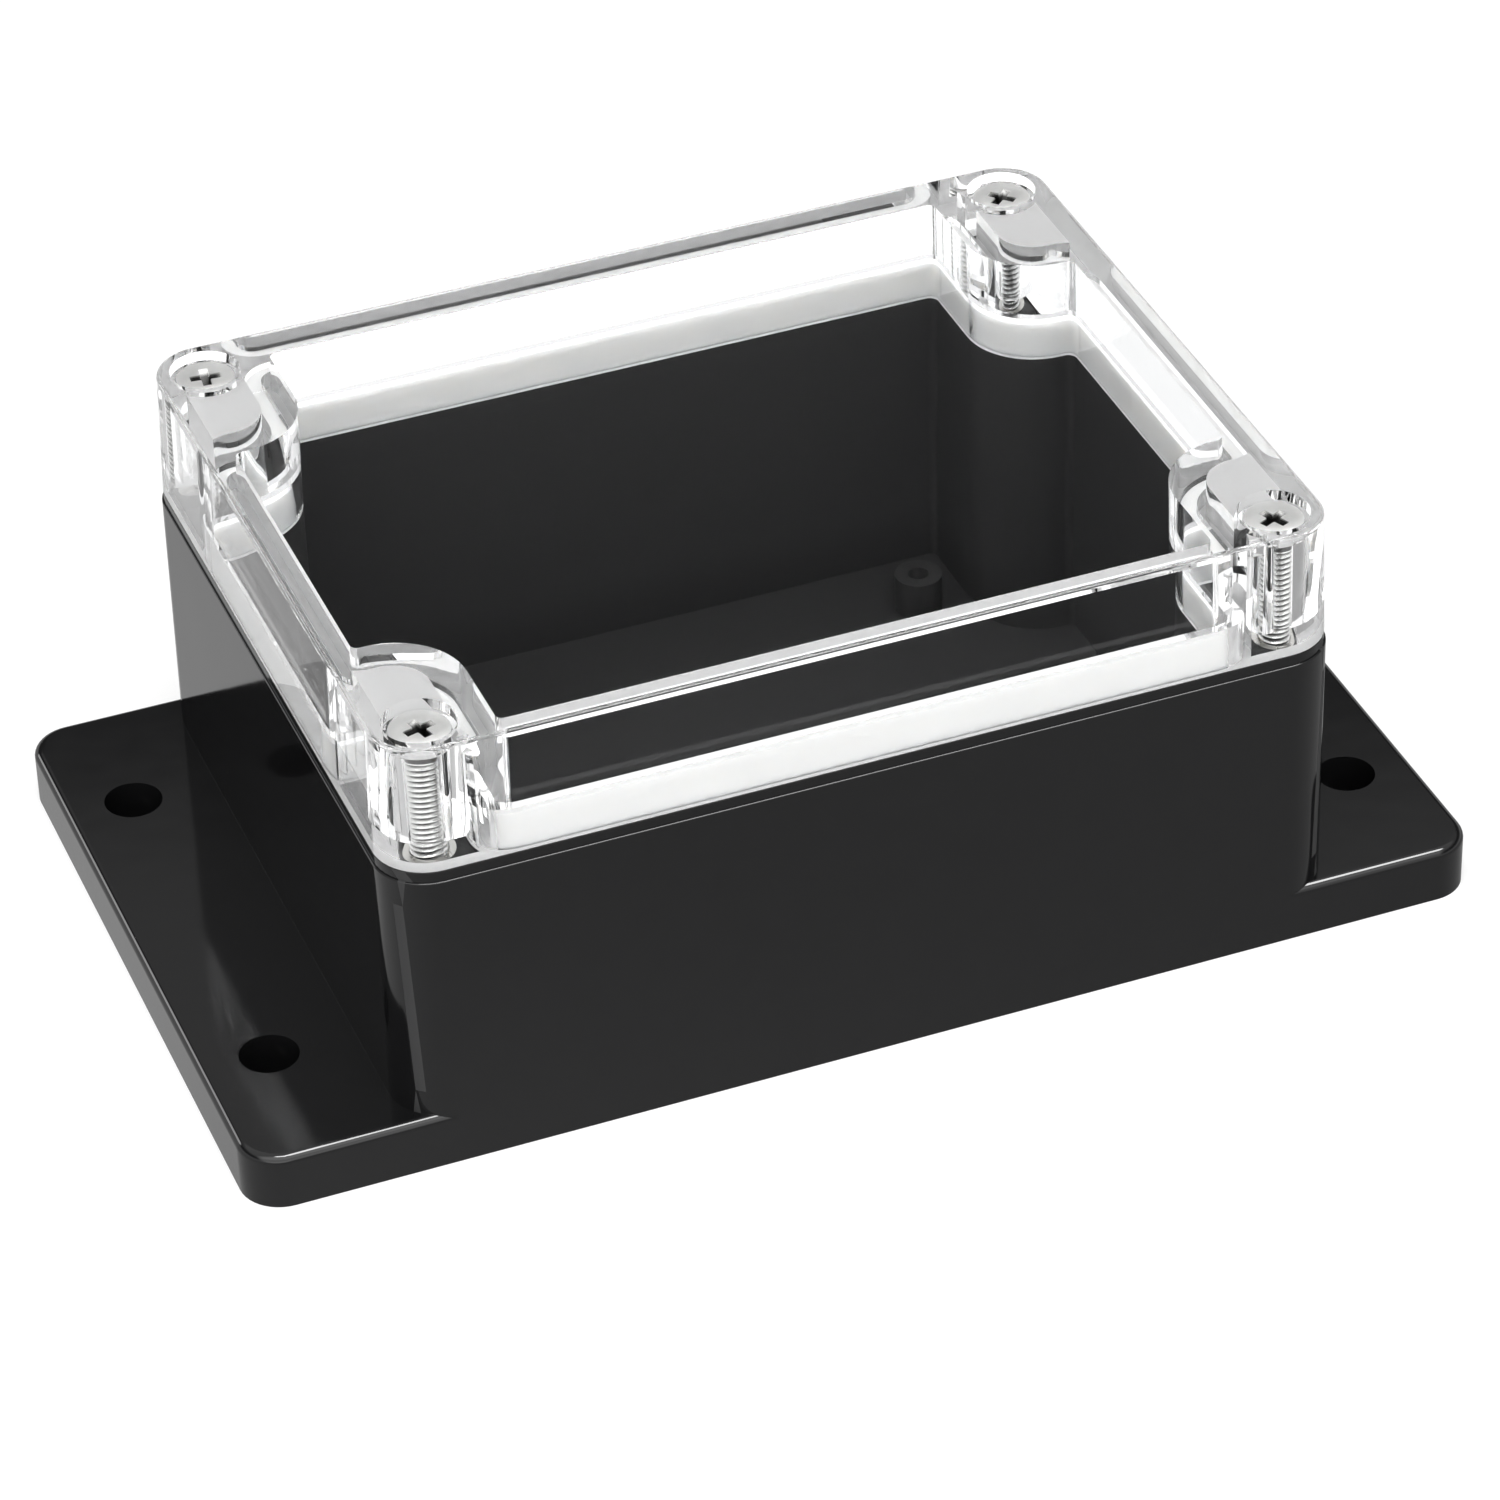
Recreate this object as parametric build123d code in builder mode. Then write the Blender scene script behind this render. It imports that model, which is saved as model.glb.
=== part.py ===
"""Wall-mount project box: black tub with two mounting flanges, clear lid, seal, inserts and four screws.

Millimetres. +X is the length, +Y the depth, +Z up. Origin: middle of the underside.
"""
import os
from math import atan, degrees, radians, tan

from build123d import *

os.makedirs("parts", exist_ok=True)

# Tub
body_length = 115.0
body_width = 89.8
body_corner = 6.4
body_draft = 0.1
floor_thickness = 3.0
joint_height = 40.7
rim_height = 1.4
rim_step = 0.2
rim_edge = 0.15
core_draft = 0.4

# Flanges
flange_reach = 18.6
flange_thickness = 7.0
flange_corner = 5.0
flange_edge = 1.0
flange_skin = 3.0
flange_wall = 2.5
flange_rib = 2.0
mount_inset_x = 8.3
mount_inset_y = 18.5
mount_hole = 7.0
mount_boss = 13.0

# Lid
lid_height = 16.0
lid_draft = 0.5
lid_plate = 2.5
lid_edge = 0.5
room_draft = 0.3
joint_gap = 0.05

# Sealed outline shared by lid and tub, with a step round each screw
seal_wall = 4.0
notch_radius = 8.6
bay_radius = 1.2
bay_straight_x = 0.5
bay_straight_y = 9.1
corner_wall = 3.0

# Seal and its groove
groove_inset = 1.0
groove_width = 2.0
groove_depth = 5.4
seal_clearance = 0.05
seal_height = 4.75

# Screws and inserts
screw_wall_x = 2.05
screw_wall_y = 1.85
screw_diameter = 4.0
screw_length = 25.0
head_diameter = 7.0
head_rim = 0.3
cone_angle = 90.0
head_recess = 1.0
head_clearance = 0.05
recess_span = 4.0
recess_slot = 0.9
recess_depth = 1.9
tip_chamfer = 0.5
clearance_hole = 4.5
counterbore = 8.4
lid_tube = 8.8
lid_tube_gap = 2.5
insert_diameter = 5.6
insert_length = 8.0
insert_fit = 0.05
insert_groove = 0.3
post_diameter = 9.6
post_drop = 0.3
post_relief = 4.0

# Circuit board posts
board_inset_x = 17.3
board_inset_y = 10.7
board_post = 6.0
board_post_height = 5.0
board_pilot = 2.6

# Derived sizes
ledge_height = joint_height - rim_height
lid_length = body_length - 2 * rim_step
lid_width = body_width - 2 * rim_step
lid_corner = body_corner - rim_step
lid_bottom = joint_height + joint_gap
lid_top = lid_bottom + lid_height
plate_underside = lid_top - lid_plate
lid_taper = degrees(atan(lid_draft / lid_height))
room_height = plate_underside - lid_bottom
room_taper = degrees(atan(room_draft / room_height))
foot_length = body_length + 2 * body_draft
foot_width = body_width + 2 * body_draft
flange_length = body_length + 2 * flange_reach
mount_spacing_x = flange_length - 2 * mount_inset_x
mount_spacing_y = foot_width - 2 * mount_inset_y
body_taper = degrees(atan(body_draft / (ledge_height - flange_thickness)))
core_height = joint_height - floor_thickness
core_taper = degrees(atan(core_draft / core_height))
cavity_half_length = lid_length / 2 - seal_wall
cavity_half_width = lid_width / 2 - seal_wall
notch_x = cavity_half_length - bay_radius - bay_straight_x - notch_radius
notch_y = cavity_half_width - bay_radius - bay_straight_y - notch_radius
board_spacing_x = 2 * (cavity_half_length - board_inset_x)
board_spacing_y = 2 * (cavity_half_width - board_inset_y)
screw_spacing_x = lid_length - 2 * screw_wall_x - counterbore
screw_spacing_y = lid_width - 2 * screw_wall_y - counterbore
post_top = joint_height - post_drop
head_top = lid_top - head_recess
insert_bottom = post_top - insert_length
screw_tip = head_top - screw_length
cone_height = (head_diameter - screw_diameter) / 2 / tan(radians(cone_angle / 2))


def sealed_outline(grow):
    """Outline of the sealed room, grown outwards by the given distance."""
    half_x = cavity_half_length + grow
    half_y = cavity_half_width + grow
    step_x = notch_x + grow
    step_y = notch_y + grow
    sweep = notch_radius - grow
    with BuildSketch(Plane.XY, mode=Mode.PRIVATE) as outline:
        RectangleRounded(2 * half_x, 2 * step_y, bay_radius + grow)
        RectangleRounded(2 * step_x, 2 * half_y, bay_radius + grow)
        with GridLocations(2 * step_x + sweep, 2 * step_y + sweep, 2, 2):
            Rectangle(sweep, sweep)
        with GridLocations(2 * (step_x + sweep), 2 * (step_y + sweep), 2, 2):
            Circle(sweep, mode=Mode.SUBTRACT)
    return outline.sketch


def corner_bays(length, width, corner, wall):
    """Plan of the four dry rooms round the screws, between the outer wall and the sealed wall."""
    with BuildSketch(Plane.XY, mode=Mode.PRIVATE) as bays:
        RectangleRounded(length - 2 * wall, width - 2 * wall, corner - wall)
        add(sealed_outline(seal_wall), mode=Mode.SUBTRACT)
    return bays.sketch


corner_names = {(-1, -1): "front_left", (1, -1): "front_right", (-1, 1): "back_left", (1, 1): "back_right"}


with BuildPart() as base:
    with BuildSketch(Plane.XY):
        RectangleRounded(flange_length, foot_width, flange_corner)
    extrude(amount=flange_thickness)
    fillet(base.faces().sort_by(Axis.Z)[-1].outer_wire().edges(), flange_edge)
    with BuildSketch(Plane.XY):
        RectangleRounded(foot_length, foot_width, body_corner)
    extrude(amount=flange_thickness)
    with BuildSketch(Plane.XY.offset(flange_thickness)):
        RectangleRounded(foot_length, foot_width, body_corner)
    extrude(amount=ledge_height - flange_thickness, taper=body_taper)
    fillet(base.faces().sort_by(Axis.Z)[-1].outer_wire().edges(), rim_edge)
    # Rim that the lid stands on, set in from the outer wall
    with BuildSketch(Plane.XY.offset(ledge_height)):
        RectangleRounded(lid_length, lid_width, lid_corner)
    extrude(amount=rim_height)
    fillet(base.faces().sort_by(Axis.Z)[-1].outer_wire().edges(), rim_edge)
    # Sealed room, a little narrower at the floor
    with BuildSketch(Plane.XY.offset(floor_thickness)):
        add(sealed_outline(-core_draft))
    extrude(amount=core_height, taper=-core_taper, mode=Mode.SUBTRACT)
    # Dry rooms round the screw posts
    with BuildSketch(Plane.XY.offset(floor_thickness)):
        add(corner_bays(body_length, body_width, body_corner, corner_wall + rim_step))
        with GridLocations(screw_spacing_x, screw_spacing_y, 2, 2):
            Circle(post_diameter / 2, mode=Mode.SUBTRACT)
    extrude(amount=core_height, mode=Mode.SUBTRACT)
    with BuildSketch(Plane.XY.offset(post_top)):
        add(corner_bays(body_length, body_width, body_corner, corner_wall + rim_step))
    extrude(amount=post_drop, mode=Mode.SUBTRACT)
    # Board posts on the floor
    with BuildSketch(Plane.XY.offset(floor_thickness)):
        with GridLocations(board_spacing_x, board_spacing_y, 2, 2):
            Circle(board_post / 2)
    extrude(amount=board_post_height)
    with BuildSketch(Plane.XY.offset(floor_thickness)):
        with GridLocations(board_spacing_x, board_spacing_y, 2, 2):
            Circle(board_pilot / 2)
    extrude(amount=board_post_height, mode=Mode.SUBTRACT)
    # Screw post bores: insert seat, then relief for the screw tip
    with Locations((0, 0, post_top)):
        with GridLocations(screw_spacing_x, screw_spacing_y, 2, 2):
            Hole(insert_diameter / 2, depth=insert_length + post_relief)
    # Flange holes and the hollow underside of the flanges
    with Locations((0, 0, flange_thickness)):
        with GridLocations(mount_spacing_x, mount_spacing_y, 2, 2):
            Hole(mount_hole / 2, depth=flange_thickness)
    with BuildSketch(Plane.XY):
        with Locations((flange_length / 4 + foot_length / 4, 0), (-flange_length / 4 - foot_length / 4, 0)):
            Rectangle(flange_length / 2 - foot_length / 2 - 2 * flange_wall, foot_width - 2 * flange_wall)
            Rectangle(flange_length, flange_rib, mode=Mode.SUBTRACT)
        with GridLocations(mount_spacing_x, mount_spacing_y, 2, 2):
            Circle(mount_boss / 2, mode=Mode.SUBTRACT)
    extrude(amount=flange_thickness - flange_skin, mode=Mode.SUBTRACT)
base.part.label = "base_housing"
export_step(base.part, "parts/base_housing.step")

with BuildPart() as lid:
    with BuildSketch(Plane.XY.offset(lid_bottom)):
        RectangleRounded(lid_length, lid_width, lid_corner)
    extrude(amount=lid_height, taper=lid_taper)
    fillet(lid.faces().sort_by(Axis.Z)[-1].outer_wire().edges(), lid_edge)
    # Sealed room under the top plate, a little narrower at the top
    with BuildSketch(Plane.XY.offset(plate_underside)):
        add(sealed_outline(-room_draft))
    extrude(amount=-room_height, taper=-room_taper, mode=Mode.SUBTRACT)
    # Dry rooms round the screw tubes, the tubes ending above the joint
    with BuildSketch(Plane.XY.offset(lid_bottom)):
        add(corner_bays(lid_length, lid_width, lid_corner, corner_wall))
    extrude(amount=lid_tube_gap, mode=Mode.SUBTRACT)
    with BuildSketch(Plane.XY.offset(lid_bottom + lid_tube_gap)):
        add(corner_bays(lid_length, lid_width, lid_corner, corner_wall))
        with GridLocations(screw_spacing_x, screw_spacing_y, 2, 2):
            Circle(lid_tube / 2, mode=Mode.SUBTRACT)
    extrude(amount=room_height - lid_tube_gap, mode=Mode.SUBTRACT)
    # Groove for the seal
    with BuildSketch(Plane.XY.offset(lid_bottom)):
        add(sealed_outline(groove_inset + groove_width))
        add(sealed_outline(groove_inset), mode=Mode.SUBTRACT)
    extrude(amount=groove_depth, mode=Mode.SUBTRACT)
    # Screw seats: counterbore, cone and clearance hole
    with Locations((0, 0, lid_top)):
        with GridLocations(screw_spacing_x, screw_spacing_y, 2, 2):
            CounterBoreHole(clearance_hole / 2, counterbore / 2, head_recess + head_rim, depth=lid_height)
    with Locations((0, 0, head_top - head_rim)):
        with GridLocations(screw_spacing_x, screw_spacing_y, 2, 2):
            CounterSinkHole(clearance_hole / 2, head_diameter / 2 + head_clearance, depth=lid_height / 2, counter_sink_angle=cone_angle)
lid.part.label = "clear_lid"
export_step(lid.part, "parts/clear_lid.step")

with BuildPart() as seal:
    with BuildSketch(Plane.XY.offset(joint_height)):
        add(sealed_outline(groove_inset + groove_width - seal_clearance))
        add(sealed_outline(groove_inset + seal_clearance), mode=Mode.SUBTRACT)
    extrude(amount=seal_height)
seal.part.label = "lid_seal"
export_step(seal.part, "parts/lid_seal.step")

for (side_x, side_y), corner_name in corner_names.items():
    place = (side_x * screw_spacing_x / 2, side_y * screw_spacing_y / 2)

    with BuildPart() as insert:
        with BuildSketch(Plane.XY.offset(insert_bottom)):
            with Locations(place):
                Circle(insert_diameter / 2)
                Circle(screw_diameter / 2 + insert_fit, mode=Mode.SUBTRACT)
        extrude(amount=insert_length)
        with BuildSketch(Plane.XY.offset(insert_bottom + insert_length / 2)):
            with Locations(place):
                Circle(insert_diameter / 2)
                Circle(insert_diameter / 2 - insert_groove, mode=Mode.SUBTRACT)
        extrude(amount=insert_length / 16, both=True, mode=Mode.SUBTRACT)
    insert.part.label = "insert_" + corner_name
    export_step(insert.part, "parts/insert_" + corner_name + ".step")

    with BuildPart() as screw:
        with BuildSketch(Plane(origin=(*place, head_top), x_dir=(1, 0, 0), z_dir=(0, -1, 0))):
            with BuildLine():
                Polyline(
                    (0, 0),
                    (head_diameter / 2, 0),
                    (head_diameter / 2, -head_rim),
                    (screw_diameter / 2, -head_rim - cone_height),
                    (screw_diameter / 2, tip_chamfer - screw_length),
                    (screw_diameter / 2 - tip_chamfer, -screw_length),
                    (0, -screw_length),
                    close=True,
                )
            make_face()
        revolve(axis=Axis((*place, 0), (0, 0, 1)))
        with BuildSketch(Plane.XY.offset(head_top)):
            with Locations(place):
                Rectangle(recess_span, recess_slot)
                Rectangle(recess_slot, recess_span)
        extrude(amount=-recess_depth, mode=Mode.SUBTRACT)
    screw.part.label = "lid_screw_" + corner_name
    export_step(screw.part, "parts/lid_screw_" + corner_name + ".step")
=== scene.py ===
"""Plastic project box: black flanged tub, clear lid, seal, threaded inserts and four cross-head screws."""
from math import pi, radians

import bpy
from bpy.props import FloatProperty, FloatVectorProperty, PointerProperty
from mathutils import Matrix, Vector


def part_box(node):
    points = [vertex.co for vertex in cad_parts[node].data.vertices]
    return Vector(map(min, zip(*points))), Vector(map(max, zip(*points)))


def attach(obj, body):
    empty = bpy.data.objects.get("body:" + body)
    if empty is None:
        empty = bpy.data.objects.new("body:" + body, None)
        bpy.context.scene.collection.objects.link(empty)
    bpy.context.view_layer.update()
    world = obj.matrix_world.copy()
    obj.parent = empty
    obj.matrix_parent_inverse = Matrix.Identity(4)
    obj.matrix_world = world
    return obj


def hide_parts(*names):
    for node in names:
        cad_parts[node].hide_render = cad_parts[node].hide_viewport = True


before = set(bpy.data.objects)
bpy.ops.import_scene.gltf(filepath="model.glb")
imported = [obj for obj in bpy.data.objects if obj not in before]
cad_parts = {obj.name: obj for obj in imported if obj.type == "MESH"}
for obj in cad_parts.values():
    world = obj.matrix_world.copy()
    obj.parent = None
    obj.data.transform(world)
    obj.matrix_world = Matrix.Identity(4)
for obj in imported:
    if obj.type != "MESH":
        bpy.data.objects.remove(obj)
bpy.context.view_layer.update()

bl_info = {
    "name": "Plastic project box",
    "version": (1, 0, 0),
    "blender": (4, 5, 0),
    "location": "3D View > Sidebar > Project box",
    "description": "Builds a clear-lidded, wall-mount project box over its solid model",
    "category": "Object",
}

MM = 0.001
SCREW_LOW, SCREW_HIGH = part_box("lid_screw_front_left")

# The four corners, each with the turn of its screw's cross in degrees
CROSS_TURNS = {"front_left": 15.3, "front_right": 24.5, "back_left": -7.5, "back_right": 41.5}

# The space that holds the faces of the tub's room, from just under its floor to just under its rim
ROOM_HALF_LENGTH = 56.0 * MM
ROOM_HALF_WIDTH = 43.4 * MM
ROOM_LOW = 2.9 * MM
ROOM_HIGH = 40.6 * MM

# The lid's matt faces look down: the sealing faces lie below the first height, and the ceilings of the dry
# rooms round the screws above the second, farther from the middle than the two distances
SEALING_BELOW = 42.0 * MM
CEILING_ABOVE = 50.0 * MM
CEILING_PAST_X = 45.0 * MM
CEILING_PAST_Y = 27.0 * MM

# The floor's grey reflection stops at this footprint of the box, which leaves a painted shadow under it
FOOTPRINT_HALF_LENGTH = 76.0 * MM
FOOTPRINT_HALF_WIDTH = 45.0 * MM

# Vertices nearer to each other than this are merged
MERGE = 0.001 * MM


# Sizes and colours

class ScrewSizes(bpy.types.PropertyGroup):
    head_radius: FloatProperty(
        name="Head radius", description="Radius of the countersunk head",
        default=(SCREW_HIGH[0] - SCREW_LOW[0]) / 2, unit="LENGTH")
    head_rim: FloatProperty(
        name="Head rim", description="Straight height of the head's edge",
        default=0.3 * MM, unit="LENGTH")
    length: FloatProperty(
        name="Length", description="Length over all",
        default=SCREW_HIGH[2] - SCREW_LOW[2], unit="LENGTH")
    neck: FloatProperty(
        name="Neck", description="Plain length between the head and the thread",
        default=0.8 * MM, unit="LENGTH")
    thread_radius: FloatProperty(
        name="Thread radius", description="Radius over the thread's crests",
        default=2.0 * MM, unit="LENGTH")
    root_radius: FloatProperty(
        name="Root radius", description="Radius at the foot of the thread",
        default=1.56 * MM, unit="LENGTH")
    pitch: FloatProperty(
        name="Pitch", description="Rise of the thread in one turn",
        default=0.7 * MM, unit="LENGTH")
    recess_span: FloatProperty(
        name="Recess span", description="Tip to tip across the cross recess",
        default=3.9 * MM, unit="LENGTH")
    recess_width: FloatProperty(
        name="Recess width", description="Width of one wing of the cross recess",
        default=1.1 * MM, unit="LENGTH")
    recess_depth: FloatProperty(
        name="Recess depth", description="Depth of the cross recess",
        default=2.0 * MM, unit="LENGTH")


class Finishes(bpy.types.PropertyGroup):
    tub_colour: FloatVectorProperty(
        name="Tub", description="Black of the moulded tub",
        subtype="COLOR", default=(0.0055, 0.0055, 0.0058))
    room_colour: FloatVectorProperty(
        name="Room", description="Black of the tub's matt inside",
        subtype="COLOR", default=(0.044, 0.044, 0.0445))
    lid_tint: FloatVectorProperty(
        name="Lid tint", description="Tint of the clear lid",
        subtype="COLOR", default=(0.994, 0.997, 1.0))
    matt_colour: FloatVectorProperty(
        name="Matt faces", description="Matt faces on the lid's underside",
        subtype="COLOR", default=(0.95, 0.95, 0.95))
    seal_colour: FloatVectorProperty(
        name="Seal", description="White of the silicone seal",
        subtype="COLOR", default=(0.87, 0.87, 0.86))
    screw_colour: FloatVectorProperty(
        name="Screws", description="Bright plate of the screws",
        subtype="COLOR", default=(0.78, 0.78, 0.77))
    insert_colour: FloatVectorProperty(
        name="Inserts", description="Nickel plate of the inserts",
        subtype="COLOR", default=(0.74, 0.73, 0.70))


class StageSettings(bpy.types.PropertyGroup):
    azimuth: FloatProperty(
        name="Azimuth", description="Camera's turn round the box",
        default=radians(-20.5346), subtype="ANGLE")
    elevation: FloatProperty(
        name="Elevation", description="Camera's height as an angle",
        default=radians(35.8728), subtype="ANGLE")
    roll: FloatProperty(
        name="Roll", description="Camera's tilt to the side",
        default=radians(-1.7265), subtype="ANGLE")
    distance: FloatProperty(
        name="Distance", description="Camera's distance from the box's foot",
        default=740.482 * MM, unit="LENGTH")
    right: FloatProperty(
        name="Right", description="Camera's shift to its right",
        default=1.156 * MM, unit="LENGTH")
    up: FloatProperty(
        name="Up", description="Camera's shift upwards",
        default=10.08 * MM, unit="LENGTH")
    lens: FloatProperty(
        name="Lens", description="Focal length in millimetres", default=147.2195, min=1.0)
    key_power: FloatProperty(
        name="Key power", description="Power of the overhead softbox in watts", default=2.2, min=0.0)
    ambient: FloatProperty(
        name="Ambient", description="Level of the light from all round", default=0.6, min=0.0)


# Shader nodes

class Value:
    """A number socket: sums and products of it add Math nodes."""

    def __init__(self, finish, socket):
        self.finish = finish
        self.socket = socket

    def math(self, operation, first, second=0.0):
        node = self.finish.node("ShaderNodeMath", {"operation": operation}, {0: first, 1: second})
        return Value(self.finish, node.outputs[0])

    def __add__(self, other):
        return self.math("ADD", self, other)

    __radd__ = __add__

    def __sub__(self, other):
        return self.math("SUBTRACT", self, other)

    def __rsub__(self, other):
        return self.math("SUBTRACT", other, self)

    def __mul__(self, other):
        return self.math("MULTIPLY", self, other)

    __rmul__ = __mul__

    def __or__(self, other):
        return self.math("MAXIMUM", self, other)

    __ror__ = __or__

    def __gt__(self, other):
        return self.math("GREATER_THAN", self, other)

    def __lt__(self, other):
        return self.math("LESS_THAN", self, other)

    def __abs__(self):
        return self.math("ABSOLUTE", self)


class Finish:
    """The node tree of a material or world, filled by one node method."""

    def __init__(self, owner, output="ShaderNodeOutputMaterial"):
        owner.use_nodes = True
        self.material = owner
        self.tree = owner.node_tree
        self.tree.nodes.clear()
        self.surface = self.node(output).inputs["Surface"]

    def node(self, kind, settings=None, sockets=None):
        """Adds a node, sets its settings, then fills its sockets with values or links."""
        node = self.tree.nodes.new(kind)
        for name, value in (settings or {}).items():
            setattr(node, name, value)
        for name, value in (sockets or {}).items():
            if isinstance(value, Value):
                self.tree.links.new(value.socket, node.inputs[name])
            elif isinstance(value, bpy.types.NodeSocket):
                self.tree.links.new(value, node.inputs[name])
            else:
                node.inputs[name].default_value = value
        return node

    def place(self, output="Object"):
        """The place on the piece in metres, or with Generated in a world the direction of the ray."""
        return self.node("ShaderNodeTexCoord").outputs[output]

    def parts(self, place):
        """The three numbers of a place."""
        split = self.node("ShaderNodeSeparateXYZ", sockets={0: place}).outputs
        return [Value(self, socket) for socket in split]

    def noise(self, place, cells, detail=2.0, stretch=(1.0, 1.0, 1.0)):
        """Cloudy noise with the given number of cells to the metre."""
        mapped = self.node("ShaderNodeMapping", sockets={"Vector": place, "Scale": stretch}).outputs[0]
        sockets = {"Vector": mapped, "Scale": cells, "Detail": detail}
        return Value(self, self.node("ShaderNodeTexNoise", sockets=sockets).outputs["Fac"])

    def mix(self, mask, first, second):
        """A colour that goes from first to second with the mask."""
        return self.node("ShaderNodeMix", {"data_type": "RGBA"}, {0: mask, 6: first, 7: second}).outputs[2]

    def bump(self, height, depth):
        """A normal bent by a height from 0 to 1 that is worth the given depth in metres."""
        sockets = {"Strength": 1.0, "Distance": depth, "Height": height}
        return self.node("ShaderNodeBump", sockets=sockets).outputs[0]

    def fade(self, value, start, end, first, last):
        """A smooth step from first to last as the value goes from start to end."""
        sockets = {0: value, 1: start, 2: end, 3: first, 4: last}
        step = self.node("ShaderNodeMapRange", {"interpolation_type": "SMOOTHSTEP"}, sockets)
        return Value(self, step.outputs[0])

    def rays(self):
        """Masks of four kinds of ray, with depths tested halfway between whole counts.

        Seen rays come straight from the camera or through the lid, and through rays only through it.
        Mirrored rays come off a gloss, or off the lid's far face on their way out. Deep rays were
        scattered and have passed the lid's faces six times or more.
        """
        outputs = self.node("ShaderNodeLightPath").outputs
        path = {name: Value(self, socket) for name, socket in outputs.items()}
        passes = path["Transmission Depth"]
        glosses = path["Glossy Depth"]
        scattered = path["Diffuse Depth"] > 0.5
        one_gloss = (glosses > 0.5) * (glosses < 1.5)
        far_face = (passes < 2.5) * one_gloss * (1.0 - scattered)
        through = path["Is Transmission Ray"] * (1.0 - far_face)
        seen = path["Is Camera Ray"] | through
        mirrored = path["Is Glossy Ray"] * (1.0 - seen)
        deep = scattered * (passes > 5.5)
        return {"seen": seen, "through": through, "mirrored": mirrored, "deep": deep}

    def plastic(self, sockets):
        """The principled surface, joined to the output."""
        shader = self.node("ShaderNodeBsdfPrincipled", sockets=sockets)
        self.tree.links.new(shader.outputs[0], self.surface)


def rgba(colour, share=1.0):
    """The colour times a share, opaque."""
    return (colour[0] * share, colour[1] * share, colour[2] * share, 1.0)


def tub_finish(colours):
    """Gloss black plastic with faint moulding waves."""
    f = Finish(bpy.data.materials.new("gloss_black_plastic"))
    place = f.place()
    waves = f.noise(place, cells=90.0)
    grain = f.noise(place, cells=4200.0, detail=1.0)
    cloud = f.noise(place, cells=260.0, detail=4.0)
    f.plastic({
        "Base Color": f.mix(cloud, rgba(colours.tub_colour, 0.85), rgba(colours.tub_colour, 1.15)),
        "Roughness": 0.07 + cloud * 0.03,
        "Normal": f.bump(waves * 0.85 + grain * 0.03, depth=0.02 * MM),
        "IOR": 1.5,
    })
    return f.material


def room_finish(colours):
    """Matt black of the tub's inside, as left by the mould's textured core, with painted shade that darkens
    it towards its foot.
    """
    f = Finish(bpy.data.materials.new("matt_black_plastic"))
    place = f.place()
    height = f.parts(place)[2]
    grain = f.noise(place, cells=4200.0, detail=2.0)
    cloud = f.noise(place, cells=320.0, detail=3.0)
    # Painted shade: the colour darkens from 12 mm down to 3 mm above the bottom, with a random cloud on top
    shade_and_cloud = f.fade(height, 3.0 * MM, 12.0 * MM, 0.0, 0.85) + cloud * 0.15
    f.plastic({
        "Base Color": f.mix(shade_and_cloud, rgba(colours.room_colour, 0.66), rgba(colours.room_colour)),
        "Roughness": 0.55 + grain * 0.2,
        "Normal": f.bump(grain, depth=0.01 * MM),
        "Specular IOR Level": 0.08,
    })
    return f.material


def lid_finish(colours):
    """Clear polycarbonate with the faintest moulding waves and handling haze."""
    f = Finish(bpy.data.materials.new("clear_polycarbonate"))
    place = f.place()
    waves = f.noise(place, cells=60.0)
    haze = f.noise(place, cells=900.0, detail=3.0)
    f.plastic({
        "Base Color": f.mix(haze, rgba(colours.lid_tint), rgba(colours.lid_tint, 0.99)),
        "Roughness": haze * 0.012,
        "Normal": f.bump(waves, depth=0.006 * MM),
        "IOR": 1.585,
        "Specular Tint": (0.15, 0.15, 0.15, 1.0),
        "Transmission Weight": 1.0,
    })
    return f.material


def matt_finish(colours, name, share):
    """Near-white matt of some of the lid's inner faces, as they leave a textured mould, times a share,
    where a share under one is painted shade.
    """
    f = Finish(bpy.data.materials.new(name))
    grain = f.noise(f.place(), cells=3000.0, detail=2.0)
    dull = rgba(colours.matt_colour, 0.95 * share)
    f.plastic({
        "Base Color": f.mix(grain, dull, rgba(colours.matt_colour, share)),
        "Roughness": 0.6 + grain * 0.1,
        "Normal": f.bump(grain, depth=0.01 * MM),
        "IOR": 1.585,
    })
    return f.material


def seal_finish(colours):
    """Matt white silicone with a fine extruded grain."""
    f = Finish(bpy.data.materials.new("white_silicone"))
    place = f.place()
    grain = f.noise(place, cells=2500.0, detail=2.0)
    cloud = f.noise(place, cells=220.0, detail=2.0)
    f.plastic({
        "Base Color": f.mix(cloud, rgba(colours.seal_colour, 0.96), rgba(colours.seal_colour)),
        "Roughness": 0.5 + grain * 0.15,
        "Normal": f.bump(grain, depth=0.01 * MM),
        "IOR": 1.41,
        "Subsurface Weight": 1.0,
        "Subsurface Radius": (1.0, 0.98, 0.95),
        "Subsurface Scale": 1.5 * MM,
    })
    return f.material


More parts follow.
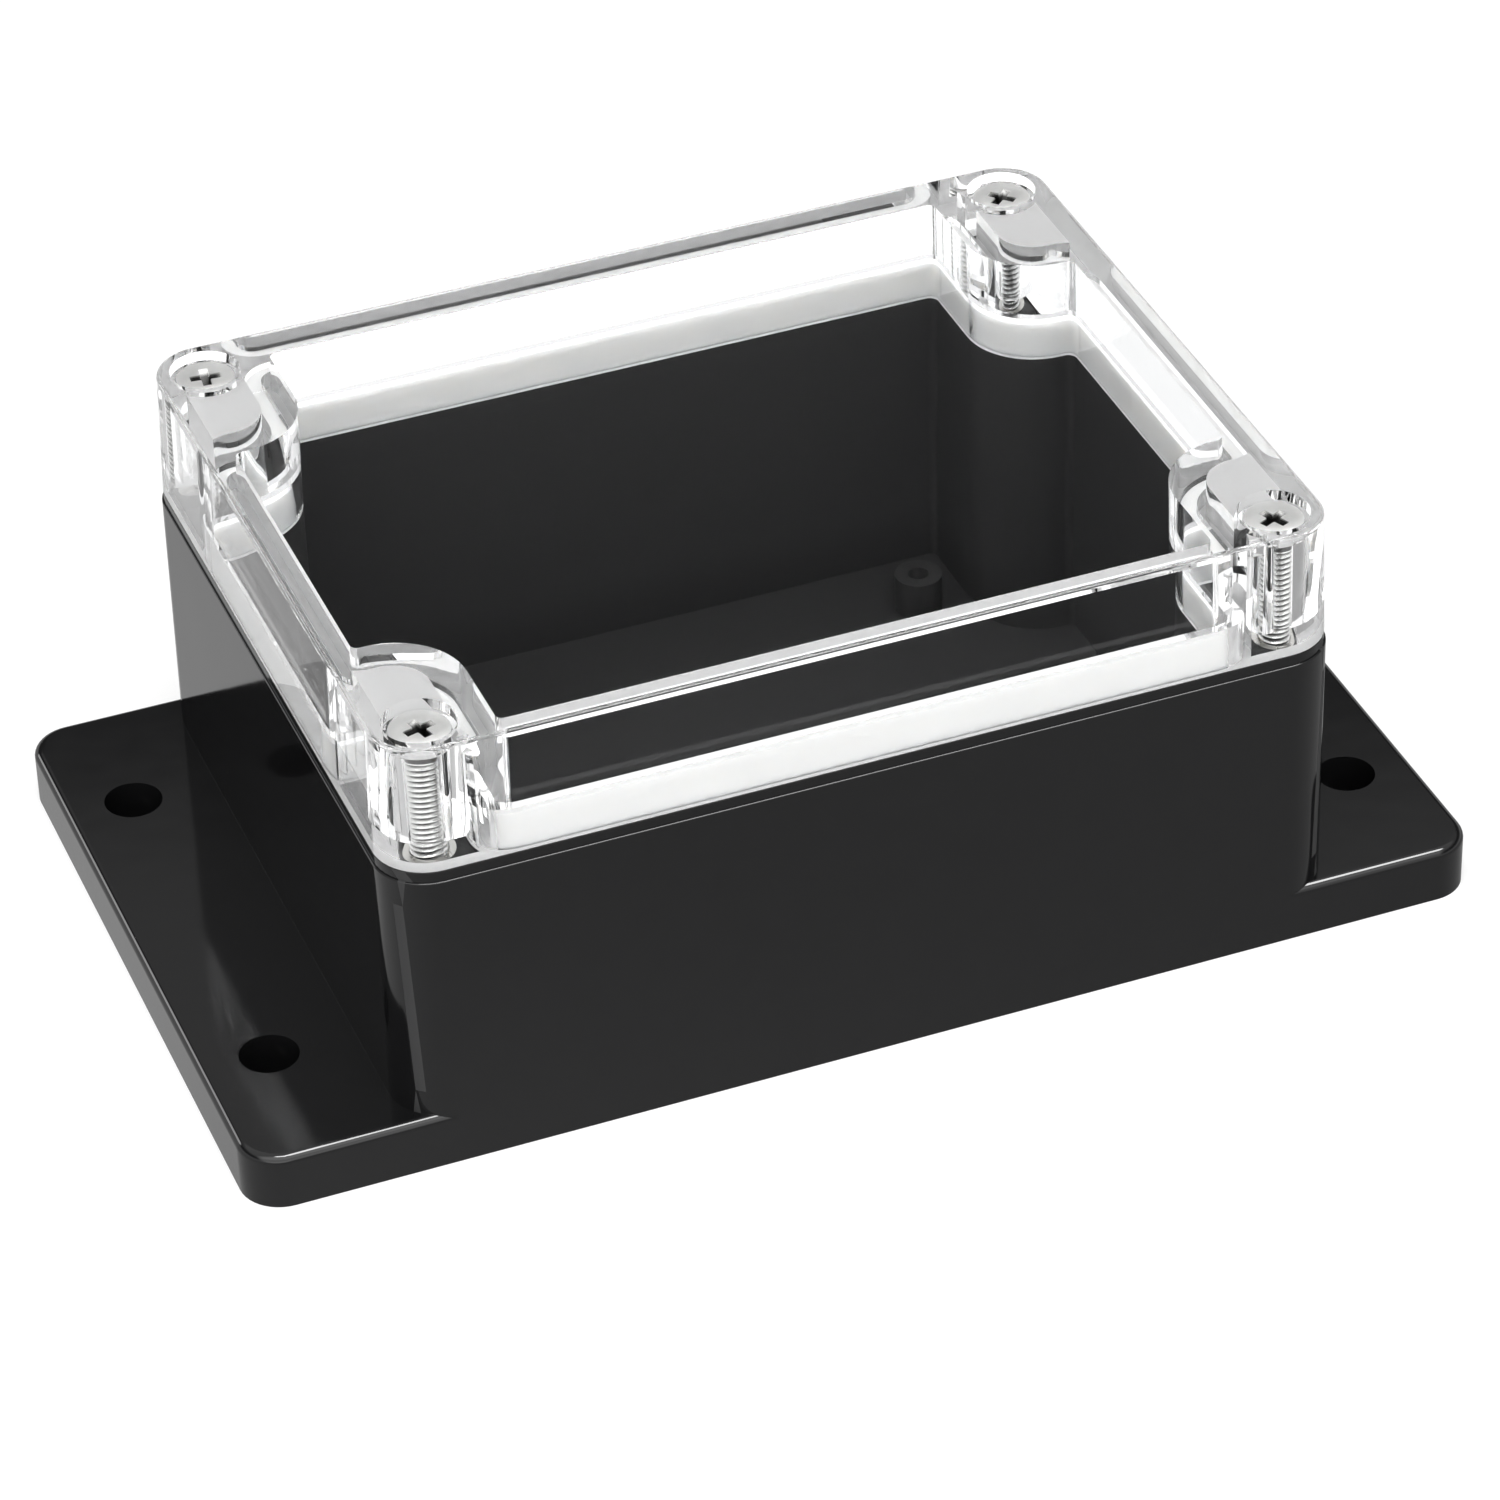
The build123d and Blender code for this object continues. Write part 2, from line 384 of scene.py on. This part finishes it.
def screw_finish(colours):
    """Bright plated steel with soft tumbling marks, and painted shade in the recess and at the thread's
    root.
    """
    f = Finish(bpy.data.materials.new("bright_plated_steel"))
    place = f.place()
    x, y, z = f.parts(place)
    marks = f.noise(place, cells=1600.0, detail=4.0)
    fine = f.noise(place, cells=9000.0, detail=2.0)
    # The screws stand in mirrored places, so one screw's box serves all four
    low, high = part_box("lid_screw_back_right")
    top = high[2]
    across = abs(x) - (low[0] + high[0]) / 2
    along = abs(y) - (low[1] + high[1]) / 2
    reach = across * across + along * along
    recess_end = 2.4 * MM
    thread_start = 2.8 * MM
    # Painted shade: the base colour goes almost black deep in the cross recess and at the thread's root,
    # where shade falls
    sunk = f.fade(top - z, 0.25 * MM, 0.9 * MM, 0.0, 0.97)
    recess = sunk * (z > top - recess_end) * (reach < recess_end ** 2)
    root = f.fade(reach, (1.58 * MM) ** 2, (1.9 * MM) ** 2, 1.0, 0.0) * (z < top - thread_start)
    painted_shade = recess | root * 0.85
    plate = f.mix(marks, rgba(colours.screw_colour, 0.9), rgba(colours.screw_colour))
    f.plastic({
        "Base Color": f.mix(painted_shade, plate, rgba(colours.screw_colour, 0.12)),
        "Metallic": 1.0,
        "Roughness": f.fade(z, top - 0.2 * MM, top - 0.05 * MM, 0.2, 0.4) + marks * 0.1,
        "Normal": f.bump(fine, depth=0.004 * MM),
    })
    return f.material


def insert_finish(colours):
    """Turned and nickel-plated brass with fine rings."""
    f = Finish(bpy.data.materials.new("plated_brass"))
    rings = f.noise(f.place(), cells=3000.0, detail=2.0, stretch=(0.15, 0.15, 1.0))
    f.plastic({
        "Base Color": f.mix(rings, rgba(colours.insert_colour, 0.85), rgba(colours.insert_colour)),
        "Metallic": 1.0,
        "Roughness": 0.22 + rings * 0.12,
        "Normal": f.bump(rings, depth=0.01 * MM),
    })
    return f.material


# Modelling helpers

def only(piece):
    """Makes the piece the one selected and active object."""
    for other in bpy.context.selected_objects:
        other.select_set(False)
    piece.select_set(True)
    bpy.context.view_layer.objects.active = piece


def apply(piece, kind, **settings):
    """Adds a modifier to the piece and applies it."""
    modifier = piece.modifiers.new(kind.title(), kind)
    for name, value in settings.items():
        setattr(modifier, name, value)
    only(piece)
    bpy.ops.object.modifier_apply(modifier=modifier.name)


def settle(piece):
    """Moves the piece's place, turn and size into its mesh."""
    only(piece)
    bpy.ops.object.transform_apply(location=True, rotation=True, scale=True)


def pick(piece, test):
    """Goes into edit mode with only the faces selected that pass the test."""
    only(piece)
    bpy.ops.object.mode_set(mode="EDIT")
    bpy.ops.mesh.select_mode(type="FACE")
    bpy.ops.mesh.select_all(action="DESELECT")
    bpy.ops.object.mode_set(mode="OBJECT")
    for face in piece.data.polygons:
        face.select = test(face)
    bpy.ops.object.mode_set(mode="EDIT")


def looks_down(face):
    """Whether a face looks down."""
    return face.normal.z < -0.5


def plain(face):
    """Whether a face is level or lies in a side wall."""
    normal = face.normal
    level = abs(normal.z) > 0.9995
    upright = abs(normal.z) < 0.06
    return level or upright and min(abs(normal.x), abs(normal.y)) < 0.005


def dress(piece, *materials):
    """Gives the piece these materials and no others."""
    piece.data.materials.clear()
    for material in materials:
        piece.data.materials.append(material)


def moulded_copy(node, name, edge=0.0):
    """A merged copy of a solid, its sharp edges broken by the given width and its curves shaded smooth."""
    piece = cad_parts[node].copy()
    piece.data = piece.data.copy()
    piece.name = name
    bpy.context.scene.collection.objects.link(piece)
    only(piece)
    bpy.ops.mesh.customdata_custom_splitnormals_clear()
    bpy.ops.object.mode_set(mode="EDIT")
    bpy.ops.mesh.select_all(action="SELECT")
    bpy.ops.mesh.remove_doubles(threshold=MERGE)
    bpy.ops.mesh.dissolve_limited(angle_limit=radians(0.2))
    bpy.ops.mesh.select_all(action="DESELECT")
    bpy.ops.object.mode_set(mode="OBJECT")
    if edge:
        apply(piece, "BEVEL", width=edge, segments=2, limit_method="ANGLE", angle_limit=radians(35))
    apply(piece, "TRIANGULATE")
    only(piece)
    bpy.ops.object.shade_smooth_by_angle(angle=radians(40))
    pick(piece, plain)
    bpy.ops.mesh.mod_weighted_strength(set=True, face_strength="STRONG")
    bpy.ops.object.mode_set(mode="OBJECT")
    apply(piece, "WEIGHTED_NORMAL", mode="FACE_AREA", keep_sharp=True, use_face_influence=True)
    return piece


# Operators

class BOX_OT_tub(bpy.types.Operator):
    """Dresses the black tub"""
    bl_idname = "box.tub"
    bl_label = "Tub"

    def execute(self, context):
        colours = context.scene.box_finishes
        tub = moulded_copy("base_housing", "tub", edge=0.08 * MM)
        dress(tub, tub_finish(colours), room_finish(colours))
        for face in tub.data.polygons:
            x, y, z = face.center
            inside = abs(x) < ROOM_HALF_LENGTH and abs(y) < ROOM_HALF_WIDTH and ROOM_LOW < z < ROOM_HIGH
            face.material_index = 1 if inside else 0
        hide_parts("base_housing")
        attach(tub, "base")
        return {"FINISHED"}


class BOX_OT_lid(bpy.types.Operator):
    """Dresses the clear lid and its seal"""
    bl_idname = "box.lid"
    bl_label = "Lid and seal"

    def execute(self, context):
        colours = context.scene.box_finishes
        lid = moulded_copy("clear_lid", "lid")
        sealing = matt_finish(colours, "matt_sealing_faces", share=1.0)
        # The ceilings' copy is 0.78 as bright, a painted shade in the dry rooms round the screws
        ceiling = matt_finish(colours, "matt_bay_ceilings_painted_shade", share=0.78)
        dress(lid, lid_finish(colours), sealing, ceiling)
        for face in lid.data.polygons:
            x, y, z = face.center
            is_ceiling = z > CEILING_ABOVE and abs(x) > CEILING_PAST_X and abs(y) > CEILING_PAST_Y
            if face.normal.z < -0.9 and (z < SEALING_BELOW or is_ceiling):
                face.material_index = 2 if is_ceiling else 1
        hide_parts("clear_lid")
        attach(lid, "lid")
        seal = moulded_copy("lid_seal", "seal")
        dress(seal, seal_finish(colours))
        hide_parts("lid_seal")
        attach(seal, "lid")
        return {"FINISHED"}


class BOX_OT_inserts(bpy.types.Operator):
    """Gives the four threaded inserts their plated brass"""
    bl_idname = "box.inserts"
    bl_label = "Inserts"

    def execute(self, context):
        plated = insert_finish(context.scene.box_finishes)
        for corner in CROSS_TURNS:
            dress(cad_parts["insert_" + corner], plated)
        return {"FINISHED"}


class BOX_OT_screws(bpy.types.Operator):
    """Models one threaded cross-head screw and sets four of them"""
    bl_idname = "box.screws"
    bl_label = "Screws"

    def thread(self, sizes, start, turns):
        """A helical ridge under the height start, closed at both ends."""
        bpy.ops.mesh.primitive_plane_add(size=1.0, rotation=(pi / 2, 0, 0))
        ridge = bpy.context.object
        settle(ridge)
        rise = sizes.pitch
        overlap = 0.05 * MM
        inner = sizes.root_radius - overlap
        foot = start - (turns + 1) * rise
        # Radius and height of the ridge's section at its corners, by whether each is far out and high up
        profile = {
            (False, False): (inner, 0.0),
            (True, False): (sizes.thread_radius, 0.42 * rise),
            (True, True): (sizes.thread_radius, 0.56 * rise),
            (False, True): (inner, 0.98 * rise),
        }
        for vertex in ridge.data.vertices:
            radius, height = profile[vertex.co.x > 0, vertex.co.z > 0]
            vertex.co = Vector((radius, 0.0, foot + height))
        apply(ridge, "SCREW", axis="Z", angle=2 * pi, screw_offset=rise, iterations=turns,
              steps=24, render_steps=24, use_merge_vertices=False)
        only(ridge)
        bpy.ops.object.mode_set(mode="EDIT")
        bpy.ops.mesh.select_all(action="SELECT")
        bpy.ops.mesh.remove_doubles(threshold=MERGE)
        bpy.ops.mesh.fill_holes(sides=8)
        bpy.ops.mesh.normals_make_consistent(inside=False)
        bpy.ops.object.mode_set(mode="OBJECT")
        return ridge

    def wing(self, sizes, turn):
        """One tapered wing of the recess cutter, which stands a little proud of the head."""
        proud = 0.1 * MM
        foot_share = (0.42, 0.7, 1.0)
        bpy.ops.mesh.primitive_cube_add(size=1.0, location=(0, 0, proud - sizes.recess_depth / 2))
        cutter = bpy.context.object
        cutter.scale = (sizes.recess_span, sizes.recess_width, sizes.recess_depth + 2 * proud)
        settle(cutter)
        pick(cutter, looks_down)
        bpy.ops.transform.resize(value=foot_share, center_override=(0, 0, -sizes.recess_depth))
        bpy.ops.object.mode_set(mode="OBJECT")
        cutter.rotation_euler = (0, 0, turn)
        settle(cutter)
        return cutter

    def pit(self, sizes):
        """The middle of the recess cutter, four-sided and wider at its mouth."""
        proud = 0.2 * MM
        foot_radius = 0.35 * MM
        mouth_radius = 1.35 * MM
        bpy.ops.mesh.primitive_cone_add(
            vertices=4, radius1=foot_radius, radius2=mouth_radius, depth=sizes.recess_depth + 2 * proud,
            location=(0, 0, proud - sizes.recess_depth / 2))
        cutter = bpy.context.object
        settle(cutter)
        return cutter

    def head_and_shank(self, sizes):
        """Countersunk head, neck and core down to the blunt point."""
        cone = sizes.head_radius - sizes.thread_radius
        step = 0.25 * MM
        point = 0.4 * MM
        point_share = 0.7
        bpy.ops.mesh.primitive_cylinder_add(
            vertices=64, radius=sizes.head_radius, depth=sizes.head_rim,
            location=(0, 0, -sizes.head_rim / 2))
        core = bpy.context.object
        settle(core)
        drops = (
            (cone, sizes.thread_radius / sizes.head_radius),
            (sizes.neck, 1.0),
            (step, sizes.root_radius / sizes.thread_radius),
            (sizes.length - sizes.head_rim - cone - sizes.neck - step - point, 1.0),
            (point, point_share),
        )
        pick(core, looks_down)
        for drop, grow in drops:
            bpy.ops.mesh.extrude_region_move(TRANSFORM_OT_translate={"value": (0, 0, -drop)})
            bpy.ops.transform.resize(value=(grow, grow, 1.0))
        bpy.ops.object.mode_set(mode="OBJECT")
        return core

    def execute(self, context):
        sizes = context.scene.box_screw
        model = self.head_and_shank(sizes)
        apply(model, "BEVEL", width=0.08 * MM, segments=2, limit_method="ANGLE", angle_limit=radians(40))
        for cutter in (self.wing(sizes, 0.0), self.wing(sizes, pi / 2), self.pit(sizes)):
            apply(model, "BOOLEAN", operation="DIFFERENCE", solver="EXACT", object=cutter)
            bpy.data.objects.remove(cutter)
        start = sizes.thread_radius - sizes.head_radius - sizes.head_rim - sizes.neck
        end_gap = 0.5 * MM
        turns = int((sizes.length + start - end_gap) / sizes.pitch)
        ridge = self.thread(sizes, start, turns)
        only(model)
        ridge.select_set(True)
        bpy.ops.object.join()
        only(model)
        bpy.ops.object.shade_smooth_by_angle(angle=radians(32))
        dress(model, screw_finish(context.scene.box_finishes))
        for corner, cross_turn in CROSS_TURNS.items():
            low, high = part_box("lid_screw_" + corner)
            head = ((low[0] + high[0]) / 2, (low[1] + high[1]) / 2, high[2])
            screw = model.copy()
            screw.data = model.data.copy()
            screw.name = "screw_" + corner
            context.scene.collection.objects.link(screw)
            screw.matrix_world = Matrix.Translation(head) @ Matrix.Rotation(radians(cross_turn), 4, "Z")
            settle(screw)
            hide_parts("lid_screw_" + corner)
            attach(screw, "screw_" + corner)
        bpy.data.objects.remove(model)
        return {"FINISHED"}


class BOX_OT_stage(bpy.types.Operator):
    """Sets the floor, world, softbox and camera"""
    bl_idname = "box.stage"
    bl_label = "Stage"

    def matt(self, f, grey):
        """A plain diffuse surface of one grey."""
        return f.node("ShaderNodeBsdfDiffuse", sockets={"Color": (grey, grey, grey, 1.0)}).outputs[0]

    def blend(self, f, mask, first, second):
        """A surface that goes from first to second with the mask."""
        return f.node("ShaderNodeMixShader", sockets={0: mask, 1: first, 2: second}).outputs[0]

    def floor(self):
        """White floor with a soft shadow, which reflections show as a painted grey, lighter towards the
        back, and as black under the box, a painted shadow.
        """
        gap = 0.02 * MM
        bpy.ops.mesh.primitive_plane_add(size=6000.0 * MM, location=(0, 0, -gap))
        floor = bpy.context.object
        floor.name = "floor"
        f = Finish(bpy.data.materials.new("white_floor"))
        x, y = f.parts(f.place())[:2]
        rays = f.rays()
        # Painted light and shadow in reflections: mirrored rays see the floor glow from 0.37 in front to
        # 0.60 at the back left, and black under the box
        past_box = (abs(x) - FOOTPRINT_HALF_LENGTH) | (abs(y) - FOOTPRINT_HALF_WIDTH)
        outside = f.fade(past_box, -6.0 * MM, 0.0, 0.0, 1.0)
        behind = f.fade(y - x * 0.6, -100.0 * MM, 60.0 * MM, 0.37, 0.60)
        glow = rays["seen"] * 0.66 + rays["through"] * 0.35 + rays["mirrored"] * behind * outside
        seen_grey = self.matt(f, 0.36)
        bounced_grey = self.matt(f, 0.8)
        black = self.matt(f, 0.0)
        base = self.blend(f, rays["seen"], bounced_grey, seen_grey)
        base = self.blend(f, rays["mirrored"], base, black)
        light = f.node("ShaderNodeEmission", sockets={"Strength": glow}).outputs[0]
        both = f.node("ShaderNodeAddShader", sockets={0: base, 1: light}).outputs[0]
        f.tree.links.new(both, f.surface)
        dress(floor, f.material)

    def patch(self, f, toward, middle, rim, full, strength):
        """A round bright patch of the world, given by the cosines of its outer rim and of its full part."""
        sockets = {0: toward, 1: Vector(middle).normalized()}
        towards = f.node("ShaderNodeVectorMath", {"operation": "DOT_PRODUCT"}, sockets).outputs["Value"]
        return f.fade(Value(f, towards), rim, full, 0.0, strength)

    def world(self, context, settings):
        """An even room with a large softbox up in front.

        Reflections show it dim, with a bright horizon, a bright ceiling and two small bright patches.
        Deep rays get more light, so the seal looks as white through the lid as its colour says.
        """
        context.scene.world = bpy.data.worlds.new("studio")
        f = Finish(context.scene.world, "ShaderNodeOutputWorld")
        toward = f.place("Generated")
        height = f.parts(toward)[2]
        rays = f.rays()
        softbox = self.patch(f, toward, middle=(-0.25, -0.72, 0.65), rim=0.62, full=0.85, strength=2.2)
        overhead = self.patch(f, toward, middle=(0.29, -0.06, 0.955), rim=0.970, full=0.985, strength=24.0)
        rear = self.patch(f, toward, middle=(-0.52, 0.76, 0.38), rim=0.985, full=0.995, strength=5.0)
        horizon = f.fade(height, 0.15, 0.40, 1.0, 0.08)
        wall_top = f.fade(height, 0.578, 0.596, 0.08, 0.5)
        ceiling = f.fade(height, 0.64, 0.74, 0.0, 1.1)
        seen_light = 1.35 + rays["deep"] * 4.6
        mirrored_light = (horizon | wall_top | ceiling) + overhead + rear
        mirrored = rays["mirrored"]
        other_light = mirrored * mirrored_light + (1.0 - mirrored) * settings.ambient
        strength = rays["seen"] * seen_light + (1.0 - rays["seen"]) * other_light + softbox
        background = f.node("ShaderNodeBackground", sockets={"Strength": strength}).outputs[0]
        f.tree.links.new(background, f.surface)

    def lamp(self, context, settings):
        """A softbox overhead that looks at the middle of the box."""
        place = Vector((-80.0, -120.0, 800.0)) * MM
        target = Vector((0.0, 0.0, 30.0)) * MM
        data = bpy.data.lights.new("overhead_softbox", "AREA")
        data.shape = "RECTANGLE"
        data.size = 220.0 * MM
        data.size_y = 160.0 * MM
        data.energy = settings.key_power
        holder = bpy.data.objects.new("overhead_softbox", data)
        context.scene.collection.objects.link(holder)
        holder.location = place
        holder.rotation_euler = (target - place).to_track_quat("-Z", "Y").to_euler()

    def camera(self, context, settings):
        """The photograph's viewpoint."""
        data = bpy.data.cameras.new("camera")
        data.lens = settings.lens
        data.sensor_width = 36.0
        data.clip_start = 10.0 * MM
        holder = bpy.data.objects.new("camera", data)
        context.scene.collection.objects.link(holder)
        turn = Matrix.Rotation(settings.azimuth, 4, "Z")
        tilt = Matrix.Rotation(pi / 2 - settings.elevation, 4, "X") @ Matrix.Rotation(settings.roll, 4, "Z")
        shift = Matrix.Translation((settings.right, settings.up, settings.distance))
        holder.matrix_world = turn @ tilt @ shift
        context.scene.camera = holder

    def execute(self, context):
        settings = context.scene.box_stage
        self.floor()
        self.world(context, settings)
        self.lamp(context, settings)
        self.camera(context, settings)
        context.scene.view_settings.view_transform = "Standard"
        bounces = 32
        for kind in ("max_bounces", "glossy_bounces", "transmission_bounces"):
            setattr(context.scene.cycles, kind, bounces)
        return {"FINISHED"}


class BOX_PT_panel(bpy.types.Panel):
    """Lists the steps that build the box"""
    bl_idname = "BOX_PT_panel"
    bl_label = "Project box"
    bl_space_type = "VIEW_3D"
    bl_region_type = "UI"
    bl_category = "Project box"

    def draw(self, context):
        for step in STEPS:
            self.layout.operator(step.bl_idname)
        for name in SETTINGS:
            group = getattr(context.scene, name)
            for prop in group.bl_rna.properties:
                if prop.identifier not in {"rna_type", "name"}:
                    self.layout.prop(group, prop.identifier)


STEPS = (BOX_OT_tub, BOX_OT_lid, BOX_OT_inserts, BOX_OT_screws, BOX_OT_stage)
SETTINGS = {"box_screw": ScrewSizes, "box_finishes": Finishes, "box_stage": StageSettings}


def register():
    for group in SETTINGS.values():
        bpy.utils.register_class(group)
    for step in STEPS:
        bpy.utils.register_class(step)
    bpy.utils.register_class(BOX_PT_panel)
    for name, group in SETTINGS.items():
        setattr(bpy.types.Scene, name, PointerProperty(type=group))


def unregister():
    for name in SETTINGS:
        delattr(bpy.types.Scene, name)
    bpy.utils.unregister_class(BOX_PT_panel)
    for step in reversed(STEPS):
        bpy.utils.unregister_class(step)
    for group in reversed(list(SETTINGS.values())):
        bpy.utils.unregister_class(group)


def main():
    register()
    for step in STEPS:
        group, action = step.bl_idname.split(".")
        getattr(getattr(bpy.ops, group), action)()


if __name__ == "__main__":
    main()
